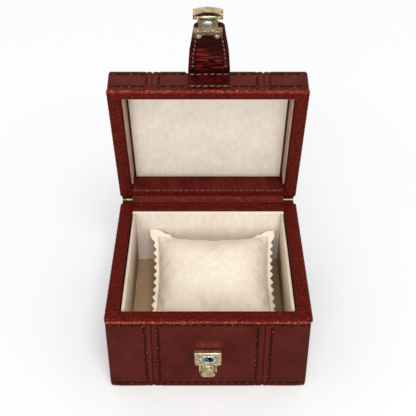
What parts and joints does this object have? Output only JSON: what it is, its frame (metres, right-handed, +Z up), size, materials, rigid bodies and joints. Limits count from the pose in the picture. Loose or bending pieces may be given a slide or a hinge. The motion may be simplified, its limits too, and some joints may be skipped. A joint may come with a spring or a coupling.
{
  "type": "watch display box",
  "caption": "Leather-covered display box with a hinged lid, a suede lining, a removable pillow for a watch, and a strap clasp that locks in front.",
  "frame": {"origin": "centre of the face that the box stands on", "axes": "+Z up, -Y towards the front with the lock, +X to the right as seen from the front"},
  "size_m": [0.11, 0.1197, 0.1989],
  "materials": {
    "wood": "raw",
    "leather": "semi-gloss",
    "leather_rim": "semi-gloss, grained",
    "leather_inner": "smooth",
    "leather_bottom": "matt",
    "lining_suede": "napped",
    "pillow_suede": "napped",
    "hinge_brass": "satin",
    "clasp_gold": "polished",
    "polished_steel": "polished",
    "steel": "brushed"
  },
  "bodies": {
    "base": {"base_bottom_board": "wood", "base_front_board": "wood", "base_back_board": "wood", "base_left_board": "wood", "base_right_board": "wood", "front_leather_left": "leather", "front_leather_centre": "leather", "front_leather_right": "leather", "side_leather_left": "leather", "side_leather_right": "leather", "back_leather": "leather", "bottom_cover": "leather_bottom", "base_rim_front": "leather_rim", "base_rim_left": "leather_rim", "base_rim_right": "leather_rim", "lining_front": "lining_suede", "lining_back": "lining_suede", "lining_left": "lining_suede", "lining_right": "lining_suede", "floor_pad": "lining_suede", "hinge_base_leaf": "hinge_brass", "hinge_pin": "hinge_brass", "hinge_base_screws": "hinge_brass", "hinge_gusset": "leather_inner", "lock_back_plate": "clasp_gold", "lock_housing": "clasp_gold", "lock_socket": "polished_steel", "lock_rivets": "clasp_gold", "lock_spring": "steel"},
    "lid": {"lid_top_board": "wood", "lid_front_board": "wood", "lid_back_board": "wood", "lid_left_board": "wood", "lid_right_board": "wood", "lid_leather_left": "leather", "lid_leather_centre": "leather", "lid_leather_right": "leather", "lid_side_leather_left": "leather", "lid_side_leather_right": "leather", "lid_rim_front": "leather_rim", "lid_rim_left": "leather_rim", "lid_rim_right": "leather_rim", "lid_panel": "lining_suede", "lid_lining_front": "lining_suede", "lid_lining_left": "lining_suede", "lid_lining_right": "lining_suede", "lid_back_lining": "leather_inner", "hinge_lid_leaf": "hinge_brass", "hinge_lid_screws": "hinge_brass", "strap_anchor": "leather"},
    "strap": {"strap": "leather", "hasp_plate": "clasp_gold", "hasp_rivets": "clasp_gold", "hasp_stud": "polished_steel", "hasp_pin": "steel"},
    "hasp_hood": {"hasp_hood": "clasp_gold"},
    "lock_slide": {"lock_slide": "clasp_gold"},
    "pillow": {"pillow": "pillow_suede"}
  },
  "joints": [
    {"name": "lid_hinge", "type": "hinge", "parent": "base", "child": "lid", "pos_m": [0, 0.05254, 0.05349], "axis": [-1, 0, 0], "range_deg": [-72, 24], "deforming": ["hinge_gusset"]},
    {"name": "strap_fold", "type": "hinge", "parent": "lid", "child": "strap", "pos_m": [0, 0.03224, 0.15303], "axis": [-1, 0, 0], "range_deg": [-83, 3]},
    {"name": "hood_pivot", "type": "hinge", "parent": "strap", "child": "hasp_hood", "pos_m": [0, 0.02157, 0.19394], "axis": [-1, 0, 0], "range_deg": [0, 20]},
    {"name": "lock_release", "type": "slide", "parent": "base", "child": "lock_slide", "axis": [0, 0, -1], "range_m": [0, 0.002], "stiffness_N_per_m": 300, "springref_m": -0.001, "deforming": ["lock_spring"]},
    {"name": "pillow_lift", "type": "slide", "parent": "base", "child": "pillow", "axis": [0, 0, 1], "range_m": [0, 0.045]}
  ]
}
